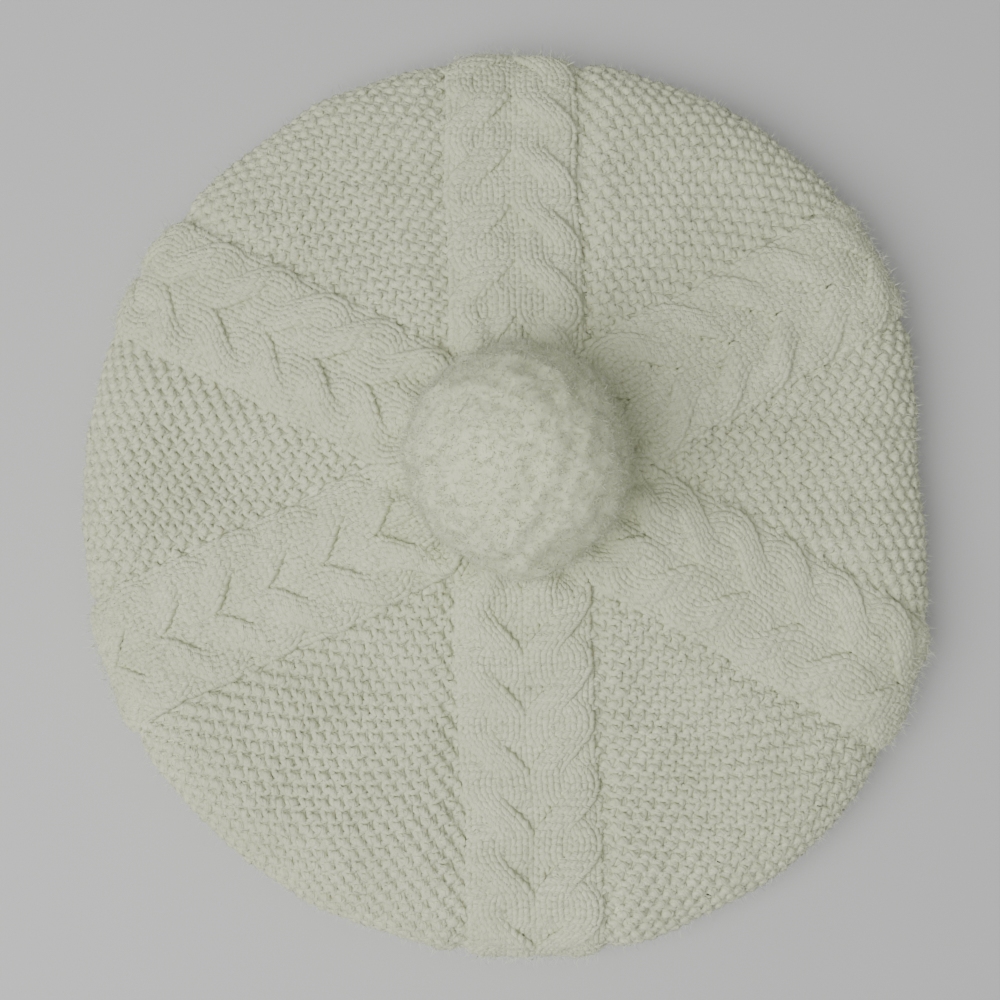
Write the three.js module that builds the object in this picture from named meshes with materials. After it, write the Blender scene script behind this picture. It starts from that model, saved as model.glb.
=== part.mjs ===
// A hand-knitted tam o' shanter lying crown up, as it rests by itself.
// Millimetres, +Z up. The hat is built round the crown's centre, with the band's lower edge at z = 0, and
// the finished group is then moved sideways so that its bounding box stands centred on the origin.
import * as THREE from "three";

// ---- Driving dimensions ----

const WALL = 3.0; // thickness of the knitted wall
const GAP = 0.3; // clearance between pieces that touch

const BAND_RADIUS = 80; // outer radius of the ribbed band
const BAND_HEIGHT = 22;
const BAND_STEPS = 64; // facets round the band

const RIM_BOTTOM = 0.4; // height of the rim's lowest line
const RIM_HEIGHT = 28; // height of the soft rim, from its lowest line to where the top begins
const RIM_DEPTH = 22; // how far the rounded rim reaches in from the outline
const TOP_RISE = 9.5; // how much higher the top is at the centre than at the rim
const DIMPLE = 2.2; // how far the pompom's knot pulls the centre down
const DIMPLE_RADIUS = 26;

const PANEL_STEPS = 6; // facets across a cable panel
const WEDGE_STEPS = 10; // facets across a wedge
const CABLE_LENGTH = 18; // distance from one crossing of the strands to the next
const WEDGE_SAG = 1.2; // how far a wedge sinks between its two panels
const RELIEF_START = 16; // the relief of the panels grows from here
const RELIEF_FULL = 44; // to here, both measured from the centre

const POMPOM_RADIUS = 32.5;
const POMPOM_CENTRE = 61; // height of its middle
const POMPOM_STEPS = 24;
const POMPOM_RINGS = 15;

// The crown's outline: distance from its centre to the edge of the rim.
const OUTLINE = [
  { azimuth: 0, radius: 125.0 },
  { azimuth: 30, radius: 131.2 },
  { azimuth: 60, radius: 133.0 },
  { azimuth: 90, radius: 131.8 },
  { azimuth: 120, radius: 132.0 },
  { azimuth: 150, radius: 133.4 },
  { azimuth: 180, radius: 134.0 },
  { azimuth: 210, radius: 139.8 },
  { azimuth: 240, radius: 146.2 },
  { azimuth: 270, radius: 146.6 },
  { azimuth: 300, radius: 146.4 },
  { azimuth: 330, radius: 137.8 },
];

// The cable panels, each of one width from the centre out. A crease follows each border: before is the
// clockwise one and after the anticlockwise one.
const PANELS = [
  { azimuth: 31, halfWidth: 20.5, lift: 2.2, before: 1.4, after: 1.0 },
  { azimuth: 91, halfWidth: 20.0, lift: 2.4, before: 1.8, after: 0.9 },
  { azimuth: 152, halfWidth: 20.5, lift: 2.2, before: 1.2, after: 1.2 },
  { azimuth: 206, halfWidth: 20.5, lift: 2.2, before: 1.0, after: 1.2 },
  { azimuth: 272, halfWidth: 21.5, lift: 2.4, before: 1.6, after: 1.6 },
  { azimuth: 331, halfWidth: 20.5, lift: 2.2, before: 1.0, after: 1.2 },
];

// Long shallow folds in the top, each along one radius.
const FOLDS = [
  { azimuth: 356, from: 42, to: 118, halfWidth: 9, depth: 1.8 },
  { azimuth: 182, from: 46, to: 104, halfWidth: 12, depth: 1.0 },
  { azimuth: 238, from: 50, to: 120, halfWidth: 14, depth: 0.9 },
  { azimuth: 303, from: 46, to: 112, halfWidth: 13, depth: 0.8 },
];

// Soft lumps of the pompom: how far the surface stands proud of its ball, and over what angle.
const TUFTS = [
  { azimuth: 275, elevation: -4, proud: 2.2, spread: 24 },
  { azimuth: 97, elevation: -12, proud: 2.0, spread: 16 },
  { azimuth: 20, elevation: 10, proud: -1.4, spread: 30 },
  { azimuth: 150, elevation: 24, proud: 1.0, spread: 34 },
  { azimuth: 215, elevation: 40, proud: -0.8, spread: 30 },
  { azimuth: 330, elevation: 30, proud: 1.0, spread: 28 },
];

const WOOL = { color: 0xe6e2d2, roughness: 0.95, metalness: 0 };
const POMPOM_WOOL = { color: 0xeceadd, roughness: 1, metalness: 0 };

// ---- Small helpers ----

const radians = THREE.MathUtils.degToRad;
const { lerp, smoothstep } = THREE.MathUtils;

// The angle from b to a, brought into -PI to PI.
function turn(a, b) {
  return Math.atan2(Math.sin(a - b), Math.cos(a - b));
}

// The outline's radius at any azimuth: a smooth closed curve through the table's rows.
function outlineRadius(azimuth) {
  const place = ((azimuth / (2 * Math.PI)) * OUTLINE.length + OUTLINE.length) % OUTLINE.length;
  const row = Math.floor(place);
  const t = place - row;
  const at = (step) => OUTLINE[(row + step + OUTLINE.length) % OUTLINE.length].radius;
  const [a, b, c, d] = [at(-1), at(0), at(1), at(2)];
  const bend = 2 * a - 5 * b + 4 * c - d + (3 * (b - c) + d - a) * t;
  return b + 0.5 * t * (c - a + t * bend);
}

// A closed surface through rings of equal length, from one pole to the other.
function ringSurface(firstPole, rings, lastPole) {
  const count = rings[0].length;
  const points = [firstPole, ...rings.flat(), lastPole];
  const last = points.length - 1;
  const index = [];
  for (let k = 0; k < count; k++) {
    const next = (k + 1) % count;
    index.push(0, 1 + k, 1 + next);
    for (let ring = 0; ring < rings.length - 1; ring++) {
      const near = 1 + ring * count;
      const far = near + count;
      index.push(near + k, far + k, far + next, near + k, far + next, near + next);
    }
    const end = last - count;
    index.push(end + k, last, end + next);
  }
  const geometry = new THREE.BufferGeometry().setFromPoints(points);
  geometry.setIndex(index);
  geometry.computeVertexNormals();
  return geometry;
}

function wool(name, geometry, finish) {
  const mesh = new THREE.Mesh(geometry, new THREE.MeshStandardMaterial(finish));
  mesh.name = name;
  return mesh;
}

// ---- The crown ----

const RIM_MIDDLE = RIM_BOTTOM + RIM_HEIGHT / 2;
const RIM_TOP = RIM_BOTTOM + RIM_HEIGHT;
const MOUTH_RADIUS = BAND_RADIUS - WALL;
const MOUTH_HEIGHT = BAND_HEIGHT + GAP;

// Height of the plain top, before its relief, at a distance from the centre.
function topHeight(distance, edge) {
  const swell = Math.cos((Math.PI / 2) * Math.min(1, distance / edge)) ** 2;
  const pull = Math.exp(-((distance / DIMPLE_RADIUS) ** 2));
  return RIM_TOP + TOP_RISE * swell - DIMPLE * pull;
}

// The crown's outer profile at an azimuth, as { r, z, top } from the centre's edge out over the rim and
// back under to the mouth. top says how much of the relief a point carries.
function outerProfile(azimuth, steps) {
  const outline = outlineRadius(azimuth);
  const edge = outline - RIM_DEPTH;
  const profile = [];
  for (let i = 1; i <= steps.top; i++) {
    const r = (edge * i) / steps.top;
    profile.push({ r, z: topHeight(r, edge), top: 1 });
  }
  for (let i = 1; i <= steps.rim; i++) {
    const angle = Math.PI / 2 - (Math.PI * i) / steps.rim;
    profile.push({
      r: edge + RIM_DEPTH * Math.cos(angle),
      z: RIM_MIDDLE + (RIM_HEIGHT / 2) * Math.sin(angle),
      top: Math.max(0, Math.sin(angle)),
    });
  }
  for (let i = 1; i <= steps.under; i++) {
    const t = i / steps.under;
    const r = lerp(edge, BAND_RADIUS, t);
    profile.push({ r, z: lerp(RIM_BOTTOM, MOUTH_HEIGHT, smoothstep(t, 0, 1)), top: 0 });
  }
  profile.push({ r: MOUTH_RADIUS, z: MOUTH_HEIGHT, top: 0 });
  return profile;
}

// The same profile moved inwards by the wall, from the mouth back to the centre.
function innerProfile(azimuth, steps) {
  const outer = [{ r: 0, z: topHeight(0, 1) }, ...outerProfile(azimuth, steps)];
  const inner = [];
  for (let i = outer.length - 2; i >= 1; i--) {
    const before = outer[i - 1];
    const after = outer[i + 1];
    const length = Math.hypot(after.r - before.r, after.z - before.z);
    const r = outer[i].r + (WALL * (after.z - before.z)) / length;
    const z = outer[i].z - (WALL * (after.r - before.r)) / length;
    inner.push({ r, z });
  }
  inner.unshift({ r: MOUTH_RADIUS, z: MOUTH_HEIGHT + WALL });
  inner[1].z = MOUTH_HEIGHT + WALL;
  inner[1].r = BAND_RADIUS;
  return inner;
}

// The azimuths of one ring of points: a panel keeps its width, and the wedges share what is left.
function ringAzimuths(distance) {
  const azimuths = [];
  PANELS.forEach((panel, i) => {
    const following = PANELS[(i + 1) % PANELS.length];
    const span = (following.azimuth - panel.azimuth + 360) % 360;
    const widest = radians(0.4 * span);
    const half = Math.min(panel.halfWidth / distance, widest);
    const nextHalf = Math.min(following.halfWidth / distance, widest);
    const middle = radians(panel.azimuth);
    for (let k = 0; k < PANEL_STEPS; k++) {
      azimuths.push(middle + half * ((2 * k) / PANEL_STEPS - 1));
    }
    for (let k = 0; k < WEDGE_STEPS; k++) {
      azimuths.push(lerp(middle + half, middle + radians(span) - nextHalf, k / WEDGE_STEPS));
    }
  });
  return azimuths;
}

// Height of a cable panel's relief: two rounded ropes with a valley between them, an arch at each crossing,
// and a crease along each border.
function panelRelief(panel, across, distance) {
  const u = across / panel.halfWidth;
  const ropes = Math.sqrt(Math.max(0, 1 - u ** 4)) - 0.28 * Math.exp(-((u / 0.16) ** 2));
  const arch = distance + 0.3 * CABLE_LENGTH * u ** 2;
  const crossing = 0.18 * Math.cos((2 * Math.PI * arch) / CABLE_LENGTH);
  const before = panel.before * Math.exp(-(((u + 1.08) / 0.16) ** 2));
  const after = panel.after * Math.exp(-(((u - 1.08) / 0.16) ** 2));
  return panel.lift * Math.max(0, ropes) * (1 + crossing) - before - after;
}

function foldDepth(azimuth, distance) {
  let depth = 0;
  for (const fold of FOLDS) {
    const across = distance * turn(azimuth, radians(fold.azimuth));
    const along = smoothstep(distance, fold.from - 8, fold.from + 8);
    const away = 1 - smoothstep(distance, fold.to - 14, fold.to + 6);
    depth += fold.depth * along * away * Math.exp(-((across / fold.halfWidth) ** 2));
  }
  return depth;
}

// Everything that stands on the plain top at one place.
function relief(azimuth, distance) {
  let height = -WEDGE_SAG - foldDepth(azimuth, distance);
  for (const panel of PANELS) {
    const away = turn(azimuth, radians(panel.azimuth));
    if (Math.abs(away) > radians(75)) continue;
    const across = distance * away;
    height += panelRelief(panel, across, distance);
    height += WEDGE_SAG * Math.exp(-((across / (1.3 * panel.halfWidth)) ** 4));
  }
  return height * smoothstep(distance, RELIEF_START, RELIEF_FULL);
}

function crown() {
  const outerSteps = { top: 15, rim: 8, under: 4 };
  const innerSteps = { top: 4, rim: 5, under: 3 };
  const place = (azimuth, r, z) => new THREE.Vector3(r * Math.cos(azimuth), r * Math.sin(azimuth), z);
  const rings = [];

  const outerCount = outerProfile(0, outerSteps).length;
  for (let i = 0; i < outerCount; i++) {
    const distance = outerProfile(radians(60), outerSteps)[i].r;
    rings.push(
      ringAzimuths(distance).map((azimuth) => {
        const { r, z, top } = outerProfile(azimuth, outerSteps)[i];
        return place(azimuth, r, z + top * relief(azimuth, r));
      }),
    );
  }
  const innerCount = innerProfile(0, innerSteps).length;
  for (let i = 0; i < innerCount; i++) {
    const distance = innerProfile(radians(60), innerSteps)[i].r;
    rings.push(
      ringAzimuths(distance).map((azimuth) => {
        const { r, z } = innerProfile(azimuth, innerSteps)[i];
        return place(azimuth, r, z);
      }),
    );
  }
  const centre = topHeight(0, 1);
  return ringSurface(new THREE.Vector3(0, 0, centre), rings, new THREE.Vector3(0, 0, centre - WALL));
}

// ---- The band ----

function band() {
  const section = [
    [BAND_RADIUS, 0],
    [BAND_RADIUS, BAND_HEIGHT],
    [MOUTH_RADIUS, BAND_HEIGHT],
    [MOUTH_RADIUS, 0],
    [BAND_RADIUS, 0],
  ];
  const profile = section.map(([r, z]) => new THREE.Vector2(r, z));
  const ring = new THREE.LatheGeometry(profile, BAND_STEPS);
  return ring.rotateX(Math.PI / 2);
}

// ---- The pompom ----

// Height of the crown's finished top, which the pompom sits on.
function crownTop(x, y) {
  const distance = Math.hypot(x, y);
  const azimuth = Math.atan2(y, x);
  const edge = outlineRadius(azimuth) - RIM_DEPTH;
  return topHeight(distance, edge) + relief(azimuth, distance);
}

function pompomRadius(azimuth, elevation) {
  let radius = POMPOM_RADIUS;
  for (const tuft of TUFTS) {
    const away = Math.hypot(
      turn(azimuth, radians(tuft.azimuth)) * Math.cos(elevation),
      elevation - radians(tuft.elevation),
    );
    radius += tuft.proud * Math.exp(-((away / radians(tuft.spread)) ** 2));
  }
  return radius;
}

function pompom() {
  const seat = GAP + 0.5; // the facets of the crown bulge a little above its true surface
  const point = (azimuth, elevation) => {
    const radius = pompomRadius(azimuth, elevation);
    const out = radius * Math.cos(elevation);
    const x = out * Math.cos(azimuth);
    const y = out * Math.sin(azimuth);
    const z = POMPOM_CENTRE + radius * Math.sin(elevation);
    return new THREE.Vector3(x, y, Math.max(z, crownTop(x, y) + seat));
  };
  const rings = [];
  for (let i = 1; i < POMPOM_RINGS; i++) {
    const elevation = Math.PI * (0.5 - i / POMPOM_RINGS);
    const ring = [];
    for (let k = 0; k < POMPOM_STEPS; k++) {
      ring.push(point((2 * Math.PI * k) / POMPOM_STEPS, elevation));
    }
    rings.push(ring);
  }
  return ringSurface(point(0, Math.PI / 2), rings, point(0, -Math.PI / 2));
}

// ---- The hat ----

const hat = new THREE.Group();
hat.add(wool("crown", crown(), WOOL));
hat.add(wool("band", band(), WOOL));
hat.add(wool("pompom", pompom(), POMPOM_WOOL));

const middle = new THREE.Box3().setFromObject(hat).getCenter(new THREE.Vector3());
hat.position.set(-middle.x, -middle.y, 0);

export default hat;
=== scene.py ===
"""A hand-knitted tam o' shanter: a cream wool crown of moss stitch and horseshoe cables, a ribbed band and
a pompom of brushed wool.

The knitting is real yarn. Each row of the moss stitch is one tube that loops through its neighbours, and
each leg of a cable stitch is a tube of its own, laid on strands that cross over and under. Everything is
worked out in millimetres about the crown's centre and scaled to metres when a mesh is made.
"""

import math

import bpy
import numpy as np
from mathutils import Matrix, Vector


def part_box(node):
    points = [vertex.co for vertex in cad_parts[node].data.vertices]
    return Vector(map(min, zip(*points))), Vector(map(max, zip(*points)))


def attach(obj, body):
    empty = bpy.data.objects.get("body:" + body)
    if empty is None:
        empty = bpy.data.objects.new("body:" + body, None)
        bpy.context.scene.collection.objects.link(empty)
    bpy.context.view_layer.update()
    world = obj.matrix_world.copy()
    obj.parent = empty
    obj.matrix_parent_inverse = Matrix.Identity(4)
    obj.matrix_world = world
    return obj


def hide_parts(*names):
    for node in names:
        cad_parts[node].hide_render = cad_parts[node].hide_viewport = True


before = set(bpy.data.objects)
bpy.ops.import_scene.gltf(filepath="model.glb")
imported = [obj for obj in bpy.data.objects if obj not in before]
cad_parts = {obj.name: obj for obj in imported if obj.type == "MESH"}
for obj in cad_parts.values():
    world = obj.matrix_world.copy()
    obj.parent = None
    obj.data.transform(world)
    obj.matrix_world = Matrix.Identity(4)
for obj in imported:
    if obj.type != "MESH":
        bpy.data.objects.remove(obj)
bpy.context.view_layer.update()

# ---- Sizes, in millimetres ----

MM = 0.001


def box_mm(node):
    low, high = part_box(node)
    return np.array(low) / MM, np.array(high) / MM


BAND_LOW, BAND_HIGH = box_mm("band")
CROWN_LOW, _ = box_mm("crown")
CENTRE = np.array([*(BAND_LOW[:2] + BAND_HIGH[:2]) / 2, 0.0])

BAND_RADIUS = (BAND_HIGH[0] - BAND_LOW[0]) / 2
BAND_TOP = BAND_HIGH[2]
RIM_BOTTOM = CROWN_LOW[2]
RIM_HEIGHT = 28  # height of the soft rim, from its lowest line to where the top begins
RIM_DEPTH = 22  # how far the rounded rim reaches in from the outline
RIM_MIDDLE = RIM_BOTTOM + RIM_HEIGHT / 2
RIM_TOP = RIM_BOTTOM + RIM_HEIGHT
TOP_RISE = 9.5  # how much higher the top is at the centre than at the rim
DIMPLE = 2.2  # how far the pompom's knot pulls the centre down
DIMPLE_RADIUS = 26
WALL = 3.0  # thickness of the knitting
BAND_RIBS = 108
PRESSED = 1.2  # how deep the knitting that rests on the table is squeezed
YARN_END = math.radians(-40)  # the yarn is laid down to this angle round the rim
SKIN_START = math.radians(-32)  # and the underside's skin begins here, beneath it

# The crown's outline: distance from its centre to the edge of the rim, every 30 degrees from 0.
OUTLINE = np.array([125.0, 131.2, 133.0, 131.8, 132.0, 133.4, 134.0, 139.8, 146.2, 146.6, 146.4, 137.8])

# The cable panels. A crease follows each border: before is the depth of the clockwise one and after of the
# anticlockwise one. apex is the distance from the centre to one arch of the cable.
PANELS = [
    {"azimuth": 31, "before": 1.4, "after": 1.0, "apex": 96.0},
    {"azimuth": 91, "before": 1.8, "after": 0.9, "apex": 102.0},
    {"azimuth": 152, "before": 1.2, "after": 1.2, "apex": 108.0},
    {"azimuth": 206, "before": 1.0, "after": 1.2, "apex": 104.0},
    {"azimuth": 272, "before": 1.6, "after": 1.6, "apex": 94.0},
    {"azimuth": 331, "before": 1.0, "after": 1.2, "apex": 100.0},
]
PANEL_HALF = 20.2
PANEL_LIFT = 1.2  # how far a cable stands above the moss stitch
PANEL_REACH = 1.3  # radians from a panel's middle beyond which it has no say
FAR_AWAY = 999  # stands for the distance to a panel out of reach
CREASE_OFFSET = 2  # from a panel's border to the bottom of the crease
CREASE_WIDTH = 3.2
WEDGE_SAG = 0.9  # how far the middle of a moss stitch wedge lies below its sides
GATHERS = 17  # tucks round the pompom
GATHER_DEPTH = 1.5
LUMP_HEIGHT = 1.2  # the unevenness of hand knitting, broad and fine
RIPPLE_HEIGHT = 0.35

# Long shallow folds in the top, each along one radius.
FOLDS = [
    {"azimuth": 356, "start": 42, "end": 118, "half": 9, "depth": 3.0},
    {"azimuth": 10, "start": 60, "end": 122, "half": 7, "depth": 1.8},
    {"azimuth": 182, "start": 46, "end": 104, "half": 12, "depth": 1.5},
    {"azimuth": 238, "start": 50, "end": 120, "half": 14, "depth": 1.4},
    {"azimuth": 303, "start": 46, "end": 112, "half": 13, "depth": 1.3},
]

# Moss stitch: one yarn looping along each row. x is along the row, y towards the crown's centre and z off
# the surface, as shares of the stitch's width and height and of the yarn's swing.
MOSS_WIDTH = 3.77
MOSS_HEIGHT = 2.22
MOSS_SWING = 0.8
MOSS_YARN = 1.21  # radius of the yarn
MOSS_START = 20  # from the centre to the first row
MOSS_REACH = 170  # how far the rows go on from there, along the skin
ROW_BOW = 0.35  # how much a row bows outwards at its ends
KNIT = [(-0.50, -0.55, 0.05), (-0.22, -0.05, -0.10), (-0.29, 0.50, 0.22)]
KNIT += [(0, 0.80, 0.55), (0.29, 0.50, 0.22), (0.22, -0.05, -0.10)]
PURL = [(-0.50, -0.55, 0.05), (-0.24, -0.62, 0.60), (-0.14, -0.10, -0.35)]
PURL += [(0, 0.85, -0.45), (0.14, -0.10, -0.35), (0.24, -0.62, 0.60)]
KNIT_RADII = [0.95, 0.85, 1.05, 1.30, 1.05, 0.85]
PURL_RADII = [0.95, 1.15, 0.85, 0.8, 0.85, 1.15]

# Cables: each half of a panel holds two strands, three stitches wide, that swap places at each crossing.
CABLE_START = 22  # from the centre to the first row
CABLE_LENGTH = 17.9  # from one crossing to the next
CABLE_ROWS = 8
CABLE_HEIGHT = CABLE_LENGTH / CABLE_ROWS
CABLE_WIDTH = 3.35  # width of one stitch
STRAND_GAP = 10.05  # from the middle of one strand to the next
CABLE_SWING = 1.1
CABLE_CROSSING = 0.95  # how far a strand rises or sinks where it crosses
CABLE_BOW = 180  # twice the radius of the arc that a row bows in
STRAND_ROUNDING = 0.6  # how much lower a strand's edges are than its middle
BACKING_DEPTH = 1.25  # how far the plain stitches between the strands lie below them
HIDDEN = 0.93  # a strand that is this far behind the other one doesn't show
LEG = [(-0.07, -0.75, -0.50), (-0.18, -0.20, 0.22), (-0.33, 0.45, 0.36), (-0.40, 1.00, -0.20)]
LEG_RADII = [0.68, 1.15, 1.18, 0.68]

YARN_SIDES = 5

# The pompom: soft lumps that stand proud of its ball.
POMPOM_RADIUS = 32.5
POMPOM_MIDDLE = 61.0
POMPOM_SAG = 1.6  # how much fuller it is below its middle
TUFTS = [
    {"azimuth": 275, "elevation": -4, "proud": 3.0, "spread": 19},
    {"azimuth": 97, "elevation": -12, "proud": 3.0, "spread": 12},
    {"azimuth": 20, "elevation": 10, "proud": -1.4, "spread": 30},
    {"azimuth": 150, "elevation": 24, "proud": 1.0, "spread": 34},
    {"azimuth": 215, "elevation": 40, "proud": -0.8, "spread": 30},
    {"azimuth": 330, "elevation": 30, "proud": 1.0, "spread": 28},
]
POMPOM_ENDS = 3650  # cut yarn ends
POMPOM_FIBRES = 5  # tufts of fibre that each end splays into
FUZZ_HAIRS = 18500

random = np.random.default_rng(11)


# ---- Small helpers ----


def smooth(value, low, high):
    t = np.clip((value - low) / (high - low), 0, 1)
    return t * t * (3 - 2 * t)


def turn(a, b):
    """The angle from b to a, brought into -pi to pi."""
    return np.arctan2(np.sin(a - b), np.cos(a - b))


def unit(vectors):
    return vectors / np.maximum(np.linalg.norm(vectors, axis=-1, keepdims=True), 1e-9)


def hump(value, half):
    """A smooth bump, 1 at zero, that fades over about half to either side."""
    return np.exp(-((value / half) ** 2))


class Waves:
    """Soft random unevenness: a sum of sine waves through space, about -1 to 1."""

    def __init__(self, count, shortest, longest):
        length = random.uniform(shortest, longest, (count, 1))
        self.waves = 2 * math.pi * unit(random.normal(size=(count, 3))) / length
        self.phase = random.uniform(0, 2 * math.pi, count)

    def at(self, points):
        total = np.zeros(points.shape[:-1])
        for wave, phase in zip(self.waves, self.phase):
            total += np.sin(points @ wave + phase)
        return total / math.sqrt(2 * len(self.phase))


# ---- The crown's skin ----


def outline_radius(azimuth):
    """A smooth closed curve through the outline's points."""
    place = np.mod(azimuth / (2 * math.pi) * len(OUTLINE), len(OUTLINE))
    row = np.floor(place).astype(int)
    t = place - row
    a, b, c, d = (OUTLINE[(row + step) % len(OUTLINE)] for step in (-1, 0, 1, 2))
    bend = 2 * a - 5 * b + 4 * c - d + (3 * (b - c) + d - a) * t
    return b + 0.5 * t * (c - a + t * bend)


def top_height(distance, edge):
    swell = np.cos(np.pi / 2 * np.minimum(1, distance / edge)) ** 2
    return RIM_TOP + TOP_RISE * swell - DIMPLE * np.exp(-((distance / DIMPLE_RADIUS) ** 2))


class Skin:
    """The crown's plain surface. A place on it is an azimuth and the distance run along the surface from
    the centre of the top, out over the rim and back under to the band."""

    COLUMNS = 360
    LENGTH = 240
    SLOPE_STEP = 1.2  # how far to either side the skin's slope is measured

    def __init__(self):
        self.azimuths = np.linspace(0, 2 * math.pi, self.COLUMNS + 1)
        self.runs = np.arange(0.0, self.LENGTH + 1)
        shape = (len(self.azimuths), len(self.runs))
        self.r = np.empty(shape)
        self.z = np.empty(shape)
        self.yarn_end = np.empty(len(self.azimuths))
        self.skin_start = np.empty(len(self.azimuths))
        self.end = np.empty(len(self.azimuths))
        for i, azimuth in enumerate(self.azimuths):
            r, z, angle = self.profile(azimuth)
            run = np.concatenate([[0], np.cumsum(np.hypot(np.diff(r), np.diff(z)))])
            self.r[i] = np.interp(self.runs, run, r)
            self.z[i] = np.interp(self.runs, run, z)
            self.yarn_end[i] = np.interp(-YARN_END, -angle, run)
            self.skin_start[i] = np.interp(-SKIN_START, -angle, run)
            self.end[i] = run[-1]

    @staticmethod
    def profile(azimuth):
        edge = outline_radius(azimuth) - RIM_DEPTH
        top = np.linspace(0, edge, 120)
        angle = np.linspace(np.pi / 2, -np.pi / 2, 80)[1:]
        t = np.linspace(0, 1, 50)[1:]
        under = edge + (BAND_RADIUS - edge) * t
        r = np.concatenate([top, edge + RIM_DEPTH * np.cos(angle), under])
        mouth = BAND_TOP + 0.3
        z = np.concatenate(
            [
                top_height(top, edge),
                RIM_MIDDLE + RIM_HEIGHT / 2 * np.sin(angle),
                RIM_BOTTOM + (mouth - RIM_BOTTOM) * t * t * (3 - 2 * t),
            ]
        )
        round_rim = np.concatenate([np.full(len(top), np.pi / 2), angle, -np.pi / 2 - t])
        return r, z, round_rim

    def along(self, values, azimuth):
        return np.interp(np.mod(azimuth, 2 * math.pi), self.azimuths, values)

    def look_up(self, table, azimuth, run):
        a = np.mod(azimuth, 2 * math.pi) / (2 * math.pi) * self.COLUMNS
        i = np.minimum(a.astype(int), self.COLUMNS - 1)
        s = np.clip(run, 0, self.LENGTH - 1e-6)
        j = s.astype(int)
        u = a - i
        v = s - j
        near = table[i, j] * (1 - v) + table[i, j + 1] * v
        far = table[i + 1, j] * (1 - v) + table[i + 1, j + 1] * v
        return near * (1 - u) + far * u

    def radius(self, azimuth, run):
        return self.look_up(self.r, azimuth, run)

    def point(self, azimuth, run, height):
        """The point that stands height off the skin, and the skin's outward direction there."""
        azimuth, run, height = np.broadcast_arrays(azimuth, run, height)
        r = self.look_up(self.r, azimuth, run)
        z = self.look_up(self.z, azimuth, run)
        before = run - self.SLOPE_STEP
        after = run + self.SLOPE_STEP
        dr = self.look_up(self.r, azimuth, after) - self.look_up(self.r, azimuth, before)
        dz = self.look_up(self.z, azimuth, after) - self.look_up(self.z, azimuth, before)
        length = np.maximum(np.hypot(dr, dz), 1e-6)
        out = -dz / length
        up = dr / length
        c = np.cos(azimuth)
        s = np.sin(azimuth)
        reach = r + out * height
        place = np.stack([reach * c, reach * s, z + up * height], -1)
        return place, np.stack([out * c, out * s, up], -1)


skin = Skin()
lumps = Waves(count=14, shortest=26, longest=70)
ripples = Waves(count=18, shortest=9, longest=22)


def gap_half(panel, side):
    """Half the angle from a panel to its neighbour on one side."""
    i = PANELS.index(panel)
    other = PANELS[(i + side) % len(PANELS)]
    between = (other["azimuth"] - panel["azimuth"] + 180) % 360 - 180
    return math.radians(abs(between)) / 2


def squeeze(panel, side, r):
    """How much narrower a panel gets near the centre, where its neighbours leave less room."""
    room = r * math.sin(gap_half(panel, side))
    return np.minimum(1, room / PANEL_HALF)


def across_panel(panel, azimuth, r):
    """The distance to a panel's middle line, positive on its anticlockwise side."""
    away = turn(azimuth, math.radians(panel["azimuth"]))
    return np.where(np.abs(away) < PANEL_REACH, r * np.sin(away), FAR_AWAY)


def ground(azimuth, run):
    """Height of the moss stitch above the plain skin: soft folds, sagging wedges, creases beside the
    cables, gathers round the pompom and the unevenness of hand knitting."""
    r = skin.radius(azimuth, run)
    place = np.stack([r * np.cos(azimuth), r * np.sin(azimuth), np.zeros(np.shape(r))], -1)
    sideways = np.full(np.shape(r), float(FAR_AWAY))
    height = np.zeros(np.shape(r))
    for panel in PANELS:
        across = across_panel(panel, azimuth, r)
        sideways = np.minimum(sideways, np.abs(across))
        height -= panel["before"] * hump(across + PANEL_HALF + CREASE_OFFSET, CREASE_WIDTH)
        height -= panel["after"] * hump(across - PANEL_HALF - CREASE_OFFSET, CREASE_WIDTH)
    height -= WEDGE_SAG * smooth(sideways, PANEL_HALF, 48)
    for fold in FOLDS:
        across = r * turn(azimuth, math.radians(fold["azimuth"]))
        begin = smooth(r, fold["start"] - 8, fold["start"] + 8)
        finish = 1 - smooth(r, fold["end"] - 14, fold["end"] + 6)
        height -= fold["depth"] * (begin * finish) * hump(across, fold["half"])
    height += LUMP_HEIGHT * lumps.at(place) + RIPPLE_HEIGHT * ripples.at(place)
    tucks = np.sin(GATHERS * azimuth + 1.4 * np.sin(3 * azimuth + 1))
    height += GATHER_DEPTH * (tucks * smooth(r, 16, 30) * (1 - smooth(r, 34, 56)))
    under = 1 - 0.7 * smooth(run, 150, 190)
    return height * smooth(r, 4, 30) * under


# ---- Meshes ----


def pressed_on_table(points):
    """Squeezes the lowest yarn between the hat's weight and the table, so nothing hangs below it."""
    points = points.copy()
    low = points[:, 2] < PRESSED
    points[low, 2] = PRESSED * np.exp(points[low, 2] / PRESSED - 1)
    return points


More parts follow.
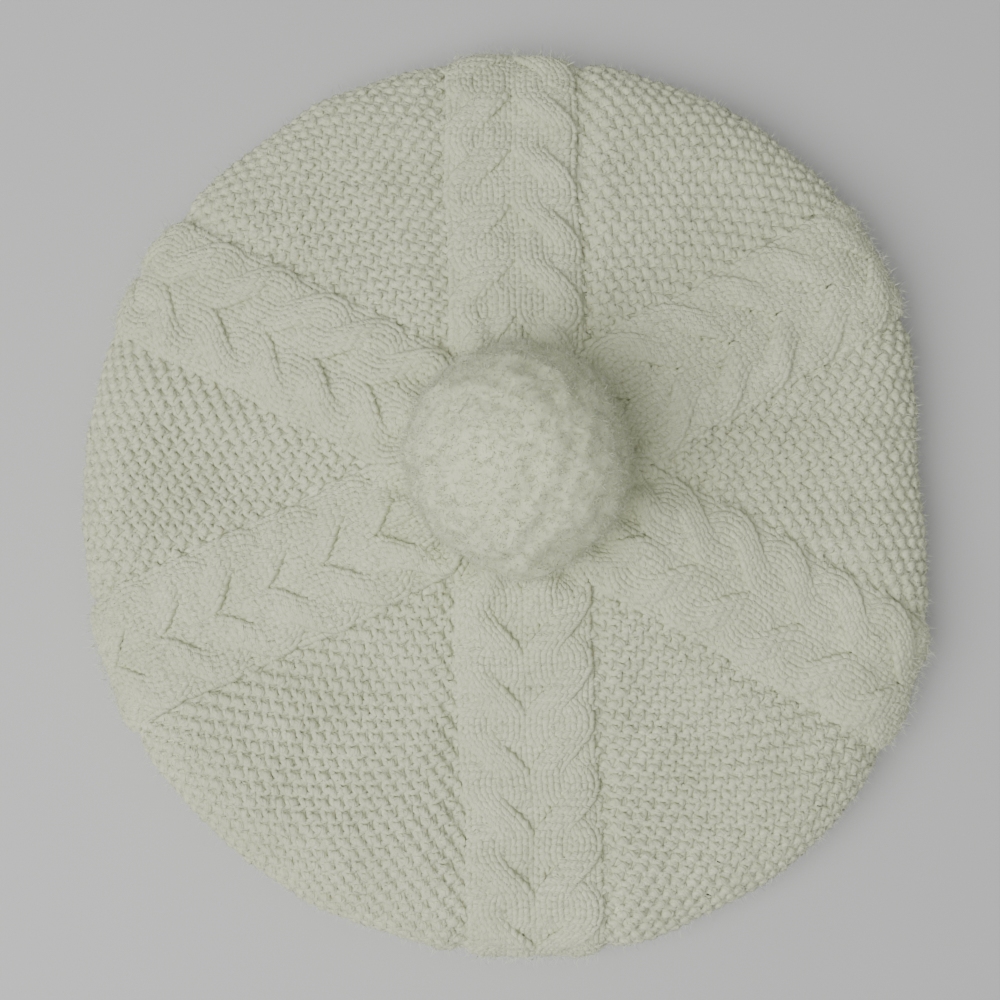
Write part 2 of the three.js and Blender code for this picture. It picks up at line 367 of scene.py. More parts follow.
def finish_mesh(name, points, loops, counts, uvs, material, chart):
    """Makes one object. loops lists the faces' corners one after the other and counts their numbers.
    uvs holds a pair for each corner and chart a pair for each point."""
    points = pressed_on_table(points)
    mesh = bpy.data.meshes.new(name)
    mesh.vertices.add(len(points))
    mesh.vertices.foreach_set("co", ((points + CENTRE) * MM).astype(np.float32).ravel())
    mesh.loops.add(len(loops))
    mesh.loops.foreach_set("vertex_index", loops.astype(np.int32))
    mesh.polygons.add(len(counts))
    starts = np.cumsum(counts) - counts
    mesh.polygons.foreach_set("loop_start", starts.astype(np.int32))
    layer = mesh.uv_layers.new(name="OFBake")
    layer.data.foreach_set("uv", chart[loops].astype(np.float32).ravel())
    layer = mesh.uv_layers.new(name="Yarn")
    layer.data.foreach_set("uv", uvs.astype(np.float32).ravel())
    mesh.update(calc_edges=True)
    mesh.shade_smooth()
    mesh.materials.append(material)
    piece = bpy.data.objects.new(name, mesh)
    bpy.context.scene.collection.objects.link(piece)
    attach(piece, "root")
    return piece


def top_chart(points):
    """A flat map of the crown seen from above, opened out round the rim."""
    rim_starts = 95
    map_width = 380
    r = np.hypot(points[:, 0], points[:, 1])
    z = points[:, 2]
    reach = r + np.where(r > rim_starts, np.clip(RIM_TOP - z, 0, 60), 0)
    scale = (reach / np.maximum(r, 1e-6))[:, None]
    return 0.5 + points[:, :2] * scale / map_width


def ball_chart(points):
    """A map of the pompom by azimuth and elevation."""
    d = unit(points - np.array([0, 0, POMPOM_MIDDLE]))
    reach = np.sqrt(np.maximum(0, (1 - d[:, 2]) / 2))
    around = np.arctan2(d[:, 1], d[:, 0])
    return 0.5 + 0.49 * np.stack([reach * np.cos(around), reach * np.sin(around)], -1)


def yarn_mesh(name, runs, material):
    """One object of closed tubes. Each run is its middle line, the outward directions and the radii."""
    middle = np.concatenate([run[0] for run in runs])
    outward = np.concatenate([run[1] for run in runs])
    radii = np.concatenate([run[2] for run in runs])
    sizes = np.array([len(run[0]) for run in runs])
    first = np.repeat(np.cumsum(sizes) - sizes, sizes)
    last = first + np.repeat(sizes, sizes) - 1
    here = np.arange(len(middle))
    forward = unit(middle[np.minimum(here + 1, last)] - middle[np.maximum(here - 1, first)])
    side = unit(np.cross(forward, outward))
    up = np.cross(side, forward)
    angles = 2 * math.pi * np.arange(YARN_SIDES) / YARN_SIDES
    ring = np.cos(angles)[:, None] * side[:, None] + np.sin(angles)[:, None] * up[:, None]
    points = (middle[:, None] + radii[:, None, None] * ring).reshape(-1, 3)

    k = np.arange(YARN_SIDES)
    following = (k + 1) % YARN_SIDES
    m = here[here < last][:, None] * YARN_SIDES
    quads = np.stack([m + k, m + YARN_SIDES + k, m + YARN_SIDES + following, m + following], -1)
    starts = here[here == first][:, None] * YARN_SIDES + k
    ends = here[here == last][:, None] * YARN_SIDES + k[::-1]
    loops = np.concatenate([quads.ravel(), starts.ravel(), ends.ravel()])
    counts = np.concatenate([np.full(quads.size // 4, 4), np.full(len(starts) + len(ends), YARN_SIDES)])

    step = np.linalg.norm(np.diff(middle, axis=0, prepend=middle[:1]), axis=1)
    length = np.cumsum(step)
    near = np.repeat(length[here < last], YARN_SIDES)
    far = np.repeat(length[here[here < last] + 1], YARN_SIDES)
    around = np.tile(k, len(m)) / YARN_SIDES
    beyond = around + 1 / YARN_SIDES
    body = np.stack([near, around, far, around, far, beyond, near, beyond], -1).reshape(-1, 2)
    caps = np.zeros((starts.size + ends.size, 2))
    uvs = np.concatenate([body, caps])
    return finish_mesh(name, points, loops, counts, uvs, material, top_chart(points))


def grid_mesh(name, points, uvs, material, chart, closed_sheet=False):
    """A closed surface of rings: points is (rings, columns, 3). The rings close on themselves round the
    azimuth, and a closed sheet's last ring joins its first; otherwise each end is closed by one face."""
    rings, columns = points.shape[:2]
    i = np.arange(rings if closed_sheet else rings - 1)[:, None]
    after = (i + 1) % rings
    k = np.arange(columns)
    following = (k + 1) % columns
    quads = np.stack(
        [i * columns + k, after * columns + k, after * columns + following, i * columns + following], -1
    )
    u = uvs[..., 0]
    v = uvs[..., 1]
    pitch = uvs[..., 2]
    low = np.broadcast_to(i, (len(i), columns))
    high = np.broadcast_to(after, (len(i), columns))
    corner = []
    for ring, extra in ((low, 0), (high, 0), (high, 1), (low, 1)):
        corner.append(np.stack([u[ring, k] + extra * pitch[ring, k], v[ring, k]], -1))
    corners = np.stack(corner, 2).reshape(-1, 2)
    loops = quads.ravel()
    counts = np.full(quads.size // 4, 4)
    if not closed_sheet:
        first = k
        last = (rings - 1) * columns + k[::-1]
        loops = np.concatenate([loops, first, last])
        counts = np.concatenate([counts, [columns, columns]])
        corners = np.concatenate([corners, np.zeros((2 * columns, 2))])
    points = points.reshape(-1, 3)
    return finish_mesh(name, points, loops, counts, corners, material, chart(points))


def spike_mesh(name, roots, tips, radii, material, chart):
    """One object of slender closed three-sided spikes, one from each root to its tip."""
    forward = unit(tips - roots)
    helper = np.where(np.abs(forward[:, 2:]) < 0.8, [[0.0, 0.0, 1.0]], [[1.0, 0.0, 0.0]])
    side = unit(np.cross(forward, helper))
    up = np.cross(side, forward)
    corners = [tips]
    for angle in (0, 2 * math.pi / 3, 4 * math.pi / 3):
        corners.append(roots + radii[:, None] * (math.cos(angle) * side + math.sin(angle) * up))
    points = np.stack(corners, 1).reshape(-1, 3)
    base = 4 * np.arange(len(roots))[:, None]
    faces = np.array([1, 2, 3, 1, 0, 2, 2, 0, 3, 3, 0, 1])  # the root, then three sides; the tip is 0
    loops = (base + faces).ravel()
    counts = np.full(len(loops) // 3, 3)
    along = np.where(faces == 0, 1.0, 0.0)
    across = np.tile(np.arange(len(faces)) / len(faces), len(roots))
    uvs = np.stack([np.tile(along, len(roots)), across], -1)
    return finish_mesh(name, points, loops, counts, uvs, material, chart(points))


# ---- Moss stitch ----


def wedge_rows(panel):
    """The moss stitch between a panel and the next one anticlockwise: a list of runs of yarn."""
    start = math.radians(panel["azimuth"])
    half = gap_half(panel, 1)
    middle = start + half
    spread = np.linspace(-half, half, 121)
    runs = []
    for row in range(int(MOSS_REACH / MOSS_HEIGHT)):
        q = MOSS_START + row * MOSS_HEIGHT
        run = q / np.cos(spread) ** ROW_BOW
        azimuth = middle + spread
        r = skin.radius(azimuth, run)
        line, _ = skin.point(azimuth, run, 0.0)
        length = np.concatenate([[0], np.cumsum(np.linalg.norm(np.diff(line, axis=0), axis=1))])
        length -= length[len(length) // 2]
        aside = r * np.sin(half - np.abs(spread))
        border = PANEL_HALF * squeeze(panel, 1, r) + 0.3
        free = (aside > border) & (run < skin.along(skin.yarn_end, azimuth))
        if free.sum() < 3:
            continue
        count = int(length[-1] / MOSS_WIDTH) + 1
        stitches = np.arange(-count, count)
        centres = (stitches + 0.5) * MOSS_WIDTH
        kept = np.interp(centres, length, free.astype(float)) > 0.5
        for group in np.split(stitches[kept], np.where(np.diff(stitches[kept]) > 1)[0] + 1):
            if len(group):
                runs.append(moss_row(row, q, group, middle, spread, length))
    return runs


def moss_row(row, q, stitches, middle, spread, length):
    """One run of yarn, with knit and purl stitches by turns, each a little uneven."""
    is_knit = (stitches + row) % 2 == 0
    shape = np.where(is_knit[:, None, None], np.array(KNIT), np.array(PURL))
    shape = shape + random.normal(0, 0.04, shape.shape) + random.normal(0, 0.03, (len(stitches), 1, 3))
    x = (stitches[:, None] + 0.5 + shape[..., 0]).ravel()
    y = shape[..., 1].ravel()
    z = shape[..., 2].ravel()
    x = np.append(x, stitches[-1] + 1.0)
    y = np.append(y, KNIT[0][1])
    z = np.append(z, 0.0)
    plump = np.where(is_knit[:, None], KNIT_RADII, PURL_RADII).ravel()
    along = np.interp(x * MOSS_WIDTH, length, spread)
    run = (q - y * MOSS_HEIGHT) / np.cos(along) ** ROW_BOW
    azimuth = middle + along
    end = skin.along(skin.yarn_end, azimuth)
    lift = ground(azimuth, run) - smooth(run, end - 10, end)
    point, outward = skin.point(azimuth, run, lift + z * MOSS_SWING)
    radii = MOSS_YARN * np.append(plump, KNIT_RADII[0]) * (1 + 0.05 * random.normal(size=len(x)))
    return point, outward, radii


# ---- Cables ----


def strand_place(panel, q, strand):
    """Where a strand of a half panel runs: its distance from the panel's middle, its height and how far
    it is behind the other strand. The strand behind swaps over a little sooner."""
    tau = np.mod((panel["apex"] - q) / CABLE_LENGTH + strand, 2)
    front = tau < 1
    part = np.mod(tau, 1)
    across = np.where(front, smooth(part, 0.08, 0.92), smooth(part, 0.02, 0.82))
    bell = np.sin(math.pi * np.clip((part - 0.02) / 0.96, 0, 1)) ** 2
    swap = STRAND_GAP * (across - 0.5) * np.where(front, 1, -1)
    puff = 1 + 0.3 * np.sin(q / 7.3 + 2.1 * panel["azimuth"] + 2 * strand)
    height = np.where(front, 0.9 * puff, -1.0) * CABLE_CROSSING * bell
    return STRAND_GAP + swap, height, np.where(front, 0, bell)


def panel_point(panel, lateral, q, height):
    """A place in a panel: lateral is the distance from its middle, which sways a little, and q the distance
    from the crown's centre."""
    azimuth = math.radians(panel["azimuth"])
    slow_sway = 0.7 * np.sin(q / 19 + panel["azimuth"])
    quick_sway = 0.4 * np.sin(q / 6.1 + 2 * panel["azimuth"])
    lateral = lateral + (slow_sway + quick_sway) * smooth(q, 40, 60)
    run = q + lateral**2 / CABLE_BOW
    r = np.maximum(skin.radius(np.full(np.shape(q), azimuth), run), 6)
    end = skin.along(skin.yarn_end, azimuth)
    narrow = np.where(lateral > 0, squeeze(panel, 1, r), squeeze(panel, -1, r))
    place = azimuth + np.arcsin(np.clip(lateral * narrow / r, -0.95, 0.95))
    over_rim = 1 - 0.2 * smooth(run, end - 30, end - 8)
    lift = ground(place, run) + PANEL_LIFT * over_rim
    return skin.point(place, run, lift + height * over_rim)


def panel_rows(panel):
    """The distance from the centre to each row of a panel's stitches."""
    end = float(skin.along(skin.yarn_end, math.radians(panel["azimuth"])))
    return CABLE_START + np.arange(int((end - CABLE_START) / CABLE_HEIGHT)) * CABLE_HEIGHT


def legs_at(panel, q, leg, lateral_at, height_at):
    """Stitch legs, one for each row coordinate q. leg is -1 or 1, for the two legs of a stitch. lateral_at
    and height_at give a leg's course."""
    shape = np.array(LEG)[None] + random.normal(0, 0.03, (len(q), len(LEG), 3))
    along = q[:, None] - shape[..., 1] * CABLE_HEIGHT
    offset = -leg[:, None] * shape[..., 0] * CABLE_WIDTH
    height = height_at(along, offset) + shape[..., 2] * CABLE_SWING
    point, outward = panel_point(panel, lateral_at(along) + offset, along, height)
    radii = np.array(LEG_RADII)[None] * (1 + 0.06 * random.normal(size=(len(q), 1)))
    return [(point[i], outward[i], radii[i]) for i in range(len(q))]


def strand_legs(panel):
    """The legs of the stitches on the four strands, apart from those hidden behind a crossing."""
    grid = np.meshgrid(panel_rows(panel), (-1, 1), (0, 1), (-1, 0, 1), (-1, 1), indexing="ij")
    q, side, strand, column, leg = (a.ravel() for a in grid)
    _, _, behind = strand_place(panel, q, strand)
    kept = behind < HIDDEN
    q, side, strand, column, leg = (a[kept] for a in (q, side, strand, column, leg))

    def lateral_at(along):
        across, _, _ = strand_place(panel, along, strand[:, None])
        return side[:, None] * across + column[:, None] * CABLE_WIDTH

    def height_at(along, offset):
        _, height, _ = strand_place(panel, along, strand[:, None])
        aside = np.abs(column[:, None] * CABLE_WIDTH + offset) / (1.5 * CABLE_WIDTH)
        return height - STRAND_ROUNDING * aside**2.2

    return legs_at(panel, q, leg, lateral_at, height_at)


def backing_legs(panel):
    """Plain knit stitches that show, further down, where the strands leave the panel bare."""
    columns = (np.arange(12) - 5.5) * CABLE_WIDTH
    grid = np.meshgrid(panel_rows(panel), columns, (-1, 1), indexing="ij")
    q, column, leg = (a.ravel() for a in grid)
    bare = np.ones(len(q), bool)
    for strand in (0, 1):
        across, _, behind = strand_place(panel, q, strand)
        bare &= (np.abs(np.abs(column) - across) > 1.05 * CABLE_WIDTH) | (behind > HIDDEN)
    q, column, leg = (a[bare] for a in (q, column, leg))
    return legs_at(panel, q, leg, lambda along: column[:, None], lambda along, offset: -BACKING_DEPTH)


# ---- The wall and the underside ----


def sector_map(azimuth, run):
    """Stitches across and rows up in each wedge, for the bump of a plain knitted surface. The third value
    is the step in stitches from one column of points to the next."""
    r = skin.radius(azimuth, run)
    middles = [math.radians(panel["azimuth"]) + gap_half(panel, 1) for panel in PANELS]
    away = np.stack([turn(azimuth, middle) for middle in middles])
    local = np.take_along_axis(away, np.abs(away).argmin(0)[None], 0)[0]
    step = 2 * math.pi / azimuth.shape[1]
    across = r * np.sin(local) / MOSS_WIDTH
    up = run * np.cos(local) ** ROW_BOW / MOSS_HEIGHT
    return np.stack([across, up, r * np.cos(local) * step / MOSS_WIDTH], -1)


def panel_share(azimuth, run):
    """1 inside a cable panel and 0 on the moss stitch."""
    r = skin.radius(azimuth, run)
    share = np.zeros(np.shape(r))
    for panel in PANELS:
        across = np.abs(across_panel(panel, azimuth, r))
        share = np.maximum(share, 1 - smooth(across, PANEL_HALF - 3, PANEL_HALF))
    return share


def crown_wall(material):
    """The knitting's body: the backing that the yarn lies on, and the crown's inside."""
    columns = 192
    outer_rings = 54
    inner_rings = 34
    pole = 0.004  # share of the way from the centre to the band where the first ring lies
    edge = 0.985  # and where the wall turns back, just short of the band
    azimuth = np.linspace(0, 2 * math.pi, columns, endpoint=False)
    outwards = np.linspace(pole, edge, outer_rings)
    inwards = np.linspace(edge, pole, inner_rings)
    share = np.concatenate([outwards, inwards])[:, None]
    outside = (np.arange(outer_rings + inner_rings) < outer_rings)[:, None]
    end = skin.along(skin.end, azimuth)
    run = share * end
    azimuth = np.broadcast_to(azimuth, run.shape)
    relief = ground(azimuth, run)
    over = -0.1 - 1.2 * panel_share(azimuth, run)
    height = np.where(outside, relief + over, relief - WALL - 0.2)
    points, _ = skin.point(azimuth, run, height)
    piece = grid_mesh("crown_wall", points, sector_map(azimuth, run), material, top_chart)
    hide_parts("crown")


def crown_underside(material):
    """The rest of the knitting, from below the rim to the band, as one finely raised skin."""
    columns = 560
    rows = 64
    bead_circle = 118  # distance from the centre at which a bead has a stitch's true width
    azimuth = np.linspace(0, 2 * math.pi, columns, endpoint=False)
    start = skin.along(skin.skin_start, azimuth)
    end = skin.along(skin.end, azimuth)
    share = np.linspace(0, 1, rows)[:, None]
    run = start + (end - start) * share
    azimuth = np.broadcast_to(azimuth, run.shape)
    r = skin.radius(azimuth, run)
    count = np.round(2 * math.pi * bead_circle / MOSS_WIDTH / 2) * 2
    beads = np.cos(azimuth * count / 2) * np.cos(math.pi * run / MOSS_HEIGHT)
    panels = panel_share(azimuth, run)
    ropes = np.zeros(np.shape(r))
    for panel in PANELS:
        across = across_panel(panel, azimuth, r)
        slant = np.cos(2 * math.pi * (run + 1.2 * np.abs(across)) / CABLE_LENGTH)
        ropes = np.where(np.abs(across) < PANEL_HALF, 1.0 + 0.6 * slant, ropes)
    height = ground(azimuth, run) + 0.4 + 0.7 * beads * (1 - panels) + ropes * panels + 0.3 * beads * panels
    height = height - 0.9 * (1 - smooth(share, 0, 0.08))
    back = np.full((2, columns), -1.6)
    height = np.concatenate([height, back])
    run = np.concatenate([run, run[-1:], run[:1]])
    azimuth = np.broadcast_to(azimuth[0], run.shape)
    points, _ = skin.point(azimuth, run, height)
    uvs = sector_map(azimuth, run)
    grid_mesh("crown_underside", points, uvs, material, top_chart, closed_sheet=True)


# ---- The band ----


def band(material):
    """A ring of one-by-one rib: each rib is a column of knit stitches."""
    ribs = BAND_RIBS
    columns = ribs * 5
    rows = 24
    rib_depth = 0.75
    rounding = 1.1  # how far the two edges are drawn in
    azimuth = np.linspace(0, 2 * math.pi, columns, endpoint=False)
    share = np.linspace(0, 1, rows)[:, None]
    column = np.mod(azimuth * ribs / (2 * math.pi), 1)
    rib = np.cos(2 * math.pi * (column - 0.5))
    aside = np.abs(column - 0.5)
    stitch = np.cos(2 * math.pi * (share * BAND_TOP / MOSS_HEIGHT + 1.6 * aside))
    raised = rib_depth * rib + 0.3 * stitch * (1 + rib) / 2
    edge = np.sin(math.pi * np.clip(share, 0.03, 0.97)) ** 0.25
    outer = BAND_RADIUS - 0.9 + raised * edge - rounding * (1 - edge)
    lowered = (rib_depth * rib - 0.2 * stitch) * edge
    inner = BAND_RADIUS - WALL - 0.2 + lowered + rounding * (1 - edge)
    height = BAND_TOP * share * np.ones(columns)
    back = 12
    pick = np.round(np.linspace(rows - 1, 0, back)).astype(int)
    radius = np.concatenate([outer, inner[pick]])
    height = np.concatenate([height, height[pick]])
    points = np.stack([radius * np.cos(azimuth), radius * np.sin(azimuth), height], -1)[::-1]
    stitches = np.broadcast_to(azimuth * ribs / (2 * math.pi), radius.shape)
    step = np.full(radius.shape, ribs / columns)
    uvs = np.stack([stitches, height / MOSS_HEIGHT, step], -1)[::-1]
    piece = grid_mesh("band_rib", points, uvs, material, top_chart, closed_sheet=True)
    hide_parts("band")


# ---- The pompom ----

tuft_waves = Waves(count=16, shortest=7, longest=15)
curl_waves = Waves(count=20, shortest=2.2, longest=4.5)


def pompom_radius(azimuth, elevation):
    """The ball's radius, with its soft lumps and the sag below its middle."""
    radius = np.full(np.shape(azimuth), POMPOM_RADIUS)
    for tuft in TUFTS:
        sideways = turn(azimuth, math.radians(tuft["azimuth"])) * np.cos(elevation)
        away = np.hypot(sideways, elevation - math.radians(tuft["elevation"]))
        radius = radius + tuft["proud"] * hump(away, math.radians(tuft["spread"]))
    return radius + POMPOM_SAG * hump(elevation + math.radians(28), math.radians(24))


def above_crown(points, clearance):
    """Keeps points off the crown's top."""
    r = np.hypot(points[..., 0], points[..., 1])
    azimuth = np.arctan2(points[..., 1], points[..., 0])
    floor = skin.look_up(skin.z, azimuth, r) + clearance
    points = points.copy()
    points[..., 2] = np.maximum(points[..., 2], floor)
    return points


def pompom_core(material):
    """The body of the pompom: a ball of wool with tufts and curls."""
    rings = 120
    columns = 200
    pole = math.pi / 2 - 0.004
    curls = 12  # repeats of the wool's map for each radian
    elevation = np.linspace(-pole, pole, rings)[:, None]
    azimuth = np.linspace(0, 2 * math.pi, columns, endpoint=False)[None]
    elevation, azimuth = np.broadcast_arrays(elevation, azimuth)
    radius = pompom_radius(azimuth, elevation) - 1.9
    direction = np.stack(
        [np.cos(elevation) * np.cos(azimuth), np.cos(elevation) * np.sin(azimuth), np.sin(elevation)], -1
    )
    place = direction * POMPOM_RADIUS
    radius = radius + 0.8 * tuft_waves.at(place) + 0.25 * curl_waves.at(place)
    radius = radius + random.normal(0, 0.05, radius.shape) * np.cos(elevation)
    points = direction * radius[..., None] + np.array([0, 0, POMPOM_MIDDLE])
    points = above_crown(points, 0.8)[::-1]
    step = np.full(azimuth.shape, curls * 2 * math.pi / columns)
    uvs = np.stack([azimuth * curls, elevation * curls, step], -1)
    piece = grid_mesh("pompom_core", points, uvs[::-1], material, ball_chart)
    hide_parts("pompom")


def pompom_yarn(material):
    """The cut ends of the pompom's yarn, each splayed into fibres."""
    index = np.arange(POMPOM_ENDS)
    height = 1 - 2 * (index + 0.5) / POMPOM_ENDS
    around = index * math.pi * (3 - math.sqrt(5))
    flat = np.sqrt(1 - height**2)
    direction = np.stack([flat * np.cos(around), flat * np.sin(around), height], -1)
    direction = unit(direction + random.normal(0, 0.02, direction.shape))
    azimuth = np.arctan2(direction[:, 1], direction[:, 0])
    elevation = np.arcsin(np.clip(direction[:, 2], -1, 1))
    place = direction * POMPOM_RADIUS
    reach = pompom_radius(azimuth, elevation) + 0.8 * tuft_waves.at(place)
    middle = np.array([0, 0, POMPOM_MIDDLE])
    shape = (POMPOM_ENDS, POMPOM_FIBRES, 3)
    root = (direction * (reach - 1.7)[:, None])[:, None] + random.normal(0, 0.7, shape)
    rise = random.uniform(0.0, 0.5, (POMPOM_ENDS, POMPOM_FIBRES, 1))
    lean = unit(rise * direction[:, None] + random.normal(0, 0.5, shape))
    tips = root + lean * random.uniform(1.4, 2.9, (POMPOM_ENDS, POMPOM_FIBRES, 1))
    tips = above_crown(tips.reshape(-1, 3) + middle, 1.0)
    roots = above_crown(root.reshape(-1, 3) + middle, 1.0)
    radii = random.uniform(0.08, 0.17, len(tips))
    for part, pick in enumerate(np.array_split(np.arange(len(tips)), 2), 1):
        name = f"pompom_yarn_{part}"
        spike_mesh(name, roots[pick], tips[pick], radii[pick], material, ball_chart)


# ---- Fuzz ----


def crown_fuzz(material):
    """Loose hairs that stand off the knitting."""
    azimuth = random.uniform(0, 2 * math.pi, FUZZ_HAIRS)
    end = skin.along(skin.yarn_end, azimuth)
    on_rim = np.arange(FUZZ_HAIRS) % 2
    start = np.where(on_rim, end - 52, 24)
    run = start + (end - start) * random.uniform(0, 1, FUZZ_HAIRS) ** 0.6
    raised = (PANEL_LIFT + 0.6) * panel_share(azimuth, run)
    roots, outward = skin.point(azimuth, run, ground(azimuth, run) + raised + 0.9)
    upright = np.where(on_rim, 0.7, 0.45)[:, None]
    lean = outward * random.uniform(0.1, 1.0, (FUZZ_HAIRS, 1)) * upright + random.normal(0, 0.6, roots.shape)
    tips = roots + unit(lean) * random.uniform(2.4, 5.4, (FUZZ_HAIRS, 1))
    radii = random.uniform(0.08, 0.16, FUZZ_HAIRS) * np.where(on_rim, 0.6, 1.0)
    spike_mesh("crown_fuzz", roots, tips, radii, material, top_chart)


# ---- Materials ----


def add_node(tree, kind, **settings):
    node = tree.nodes.new(kind)
    for name, value in settings.items():
        setattr(node, name, value)
    return node


def noise(tree, vector, scale, detail):
    node = add_node(tree, "ShaderNodeTexNoise")
    node.inputs["Scale"].default_value = scale
    node.inputs["Detail"].default_value = detail
    tree.links.new(vector, node.inputs["Vector"])
    return node.outputs["Fac"]


def maths(tree, operation, first, second):
    node = add_node(tree, "ShaderNodeMath", operation=operation)
    for socket, value in zip(node.inputs, (first, second)):
        if isinstance(value, (int, float)):
            socket.default_value = value
        else:
            tree.links.new(value, socket)
    return node.outputs[0]


def blend_colours(tree, factor, first, second):
    node = add_node(tree, "ShaderNodeMix", data_type="RGBA")
    tree.links.new(factor, node.inputs[0])
    for socket, value in zip((node.inputs[6], node.inputs[7]), (first, second)):
        if isinstance(value, tuple):
            socket.default_value = (*value, 1)
        else:
            tree.links.new(value, socket)
    return node.outputs[2]


def soft_range(tree, value, low, high):
    """0 where value is low and 1 where it is high, with a smooth change between."""
    node = add_node(tree, "ShaderNodeMapRange", interpolation_type="SMOOTHSTEP")
    tree.links.new(value, node.inputs[0])
    node.inputs[1].default_value = low
    node.inputs[2].default_value = high
    return node.outputs[0]


def new_material(name):
    material = bpy.data.materials.new(name)
    material.use_nodes = True
    return material, material.node_tree, material.node_tree.nodes["Principled BSDF"]


def wool(name, light, shade, sheen, bump_height, twist, translucent=0.0, stitched=False):
    """Matt wool with a soft bloom. twist is the length of one turn of the yarn's ply in millimetres, or
    None for loose fibre. A stitched surface shows the back of the moss stitch."""
    material, tree, shader = new_material(name)
    place = add_node(tree, "ShaderNodeTexCoord").outputs["Object"]
    yarn = add_node(tree, "ShaderNodeUVMap", uv_map="Yarn").outputs["UV"]
    split = add_node(tree, "ShaderNodeSeparateXYZ")
    tree.links.new(yarn, split.inputs[0])

    if twist:
        turns = maths(tree, "MULTIPLY", split.outputs[0], 1 / twist)
        strand = add_node(tree, "ShaderNodeCombineXYZ")
        tree.links.new(turns, strand.inputs[0])
        tree.links.new(maths(tree, "ADD", turns, split.outputs[1]), strand.inputs[1])
        strand_scale = add_node(tree, "ShaderNodeVectorMath", operation="MULTIPLY")
        tree.links.new(strand.outputs[0], strand_scale.inputs[0])
        strand_scale.inputs[1].default_value = (1.2, 7.0, 1.0)
        fibres = noise(tree, strand_scale.outputs[0], 1.0, 1)
    else:
        fibres = noise(tree, place, 2600, 1)
    broad = soft_range(tree, noise(tree, place, 55, 1), 0.35, 0.65)
    halfway = tuple(0.5 * (a + b) for a, b in zip(light, shade))
    tone = blend_colours(tree, broad, light, halfway)
    # Painted shade: the colour darkens towards the shade colour in the grooves between the fibre streaks,
    # and the streaks stay lighter as painted highlights.
    painted_fibre_shade = maths(tree, "MULTIPLY", soft_range(tree, fibres, 0.62, 0.38), 0.9)
    tone = blend_colours(tree, painted_fibre_shade, tone, shade)
    tree.links.new(tone, shader.inputs["Base Color"])
    height = fibres
    if stitched:
        across = maths(tree, "COSINE", maths(tree, "MULTIPLY", split.outputs[0], math.pi), 0)
        up = maths(tree, "COSINE", maths(tree, "MULTIPLY", split.outputs[1], math.pi), 0)
        stitches = maths(tree, "MULTIPLY", across, up)
        height = maths(tree, "ADD", maths(tree, "MULTIPLY", fibres, 0.4), stitches)
    bump = add_node(tree, "ShaderNodeBump")
    bump.inputs["Strength"].default_value = 0.8
    bump.inputs["Distance"].default_value = bump_height * MM
    tree.links.new(height, bump.inputs["Height"])
    tree.links.new(bump.outputs[0], shader.inputs["Normal"])

    shader.inputs["Roughness"].default_value = 0.92
    shader.inputs["Specular IOR Level"].default_value = 0.22
    shader.inputs["Sheen Weight"].default_value = sheen
    shader.inputs["Sheen Roughness"].default_value = 0.5
    shader.inputs["Sheen Tint"].default_value = (0.93, 0.95, 0.82, 1)
    shader.inputs["Subsurface Weight"].default_value = translucent
    shader.inputs["Subsurface Radius"].default_value = (1.0, 0.95, 0.8)
    shader.inputs["Subsurface Scale"].default_value = 1.8 * MM
    return material


def plain(name, colour, roughness):
    """The floor's finish: pale and faintly mottled."""
    material, tree, shader = new_material(name)
    place = add_node(tree, "ShaderNodeTexCoord").outputs["Object"]
    darker = tuple(0.97 * c for c in colour)
    mottle = blend_colours(tree, noise(tree, place, 14, 2), colour, darker)
    tree.links.new(mottle, shader.inputs["Base Color"])
    shader.inputs["Roughness"].default_value = roughness
    return material


# ---- Stage ----


def floor():
    """A pale tabletop, a hair's breadth below the hat's lowest yarn."""
    bpy.ops.mesh.primitive_plane_add(size=40, location=(0, 0, -0.0006))
    plane = bpy.context.object
    plane.name = "floor"
    plane.data.materials.append(plain("floor", (0.60, 0.61, 0.62), 0.7))


def area_light(name, position, size, power, colour):
    data = bpy.data.lights.new(name, "AREA")
    data.shape = "DISK"
    data.size = size
    data.energy = power
    data.color = colour
    lamp = bpy.data.objects.new(name, data)
    bpy.context.scene.collection.objects.link(lamp)
    lamp.location = position
    aim = Vector((0, 0, 0.03)) - lamp.location
    lamp.rotation_euler = aim.to_track_quat("-Z", "Y").to_euler()


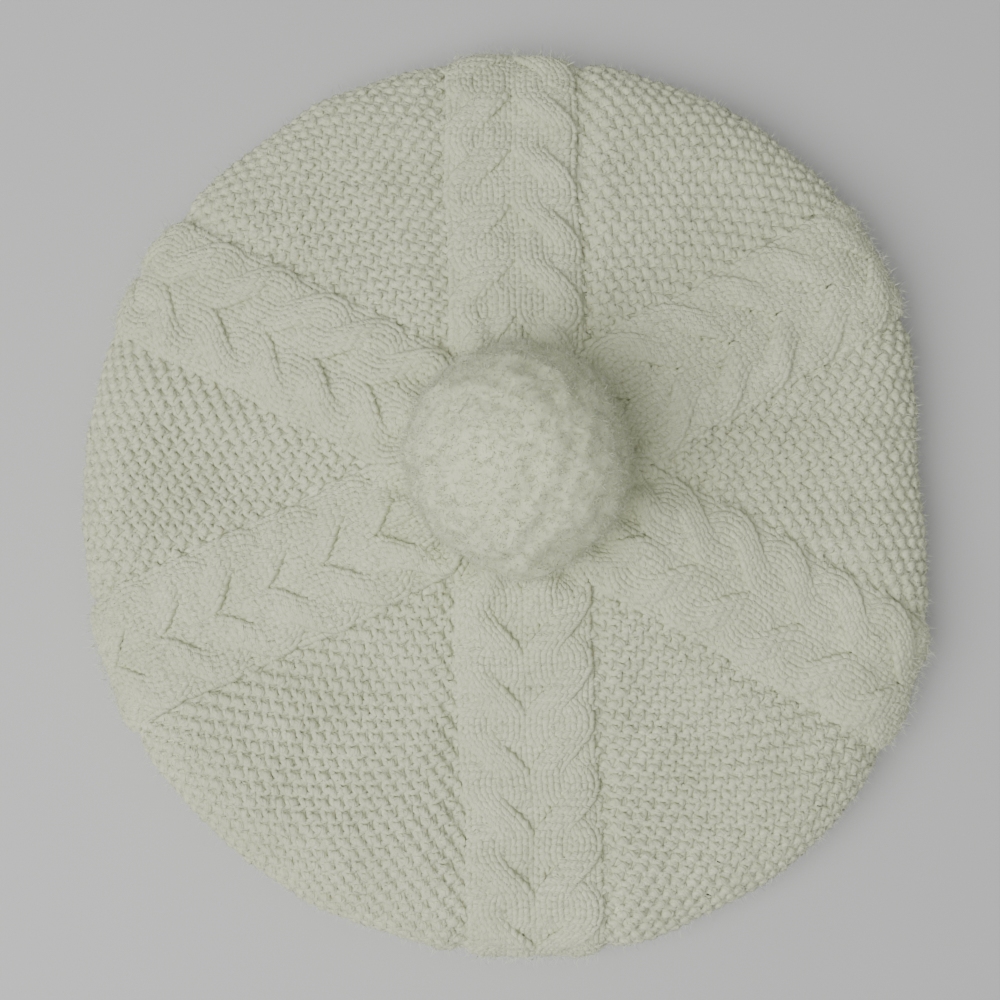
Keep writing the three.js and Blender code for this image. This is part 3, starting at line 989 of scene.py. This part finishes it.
def studio():
    area_light("key", (-0.55, -0.32, 1.0), 1.0, 12.5, (1.0, 0.99, 0.96))
    area_light("fill", (-0.1, -0.2, 1.3), 1.6, 3.6, (1.0, 1.0, 0.98))
    world = bpy.data.worlds.new("studio")
    world.use_nodes = True
    world.node_tree.nodes["Background"].inputs[0].default_value = (0.95, 0.95, 0.93, 1)
    world.node_tree.nodes["Background"].inputs[1].default_value = 0.3
    bpy.context.scene.world = world


def camera():
    data = bpy.data.cameras.new("camera")
    data.lens = 52
    data.sensor_width = 36
    eye = bpy.data.objects.new("camera", data)
    bpy.context.scene.collection.objects.link(eye)
    target = Vector((-0.0015, -0.0015, 0.020))
    tilt = math.radians(85.5)
    distance = 0.445
    eye.location = target + distance * Vector((0, -math.cos(tilt), math.sin(tilt)))
    eye.rotation_euler = (target - eye.location).to_track_quat("-Z", "Y").to_euler()
    bpy.context.scene.camera = eye


# ---- The hat ----

yarn_wool = wool("cream_wool", (0.82, 0.85, 0.64), (0.66, 0.69, 0.49), 0.25, 0.6, 3.0)
# Painted light: the backing is a lighter cream than the yarn, so the holes between the stitches, where shade
# falls, show lighter.
backing_wool_painted_light = wool("cream_wool_backing_painted_light", (0.86, 0.89, 0.69), (0.78, 0.81, 0.61), 0.2, 0.6, None, stitched=True)
rib_wool = wool("rib_wool", (0.80, 0.83, 0.62), (0.68, 0.71, 0.50), 0.25, 0.25, None)
pompom_wool = wool("pompom_wool", (0.83, 0.87, 0.64), (0.73, 0.77, 0.54), 0.08, 0.12, None, 0.5)
# Painted highlight: the loose hairs are a brighter cream than the yarn they come from, so they show as
# bright silky strokes.
fuzz_wool_painted_highlight = wool("fuzz_wool_painted_highlight", (0.95, 0.97, 0.82), (0.90, 0.92, 0.76), 0.4, 0.1, None)

crown_wall(backing_wool_painted_light)
crown_underside(yarn_wool)
band(rib_wool)
rows = [run for panel in PANELS for run in wedge_rows(panel)]
yarn_mesh("moss_stitch_1", rows[: len(rows) // 2], yarn_wool)
yarn_mesh("moss_stitch_2", rows[len(rows) // 2 :], yarn_wool)
legs = [leg for panel in PANELS for leg in strand_legs(panel) + backing_legs(panel)]
yarn_mesh("cable_stitch_1", legs[: len(legs) // 2], yarn_wool)
yarn_mesh("cable_stitch_2", legs[len(legs) // 2 :], yarn_wool)
pompom_core(pompom_wool)
pompom_yarn(pompom_wool)
crown_fuzz(fuzz_wool_painted_highlight)

floor()
studio()
camera()
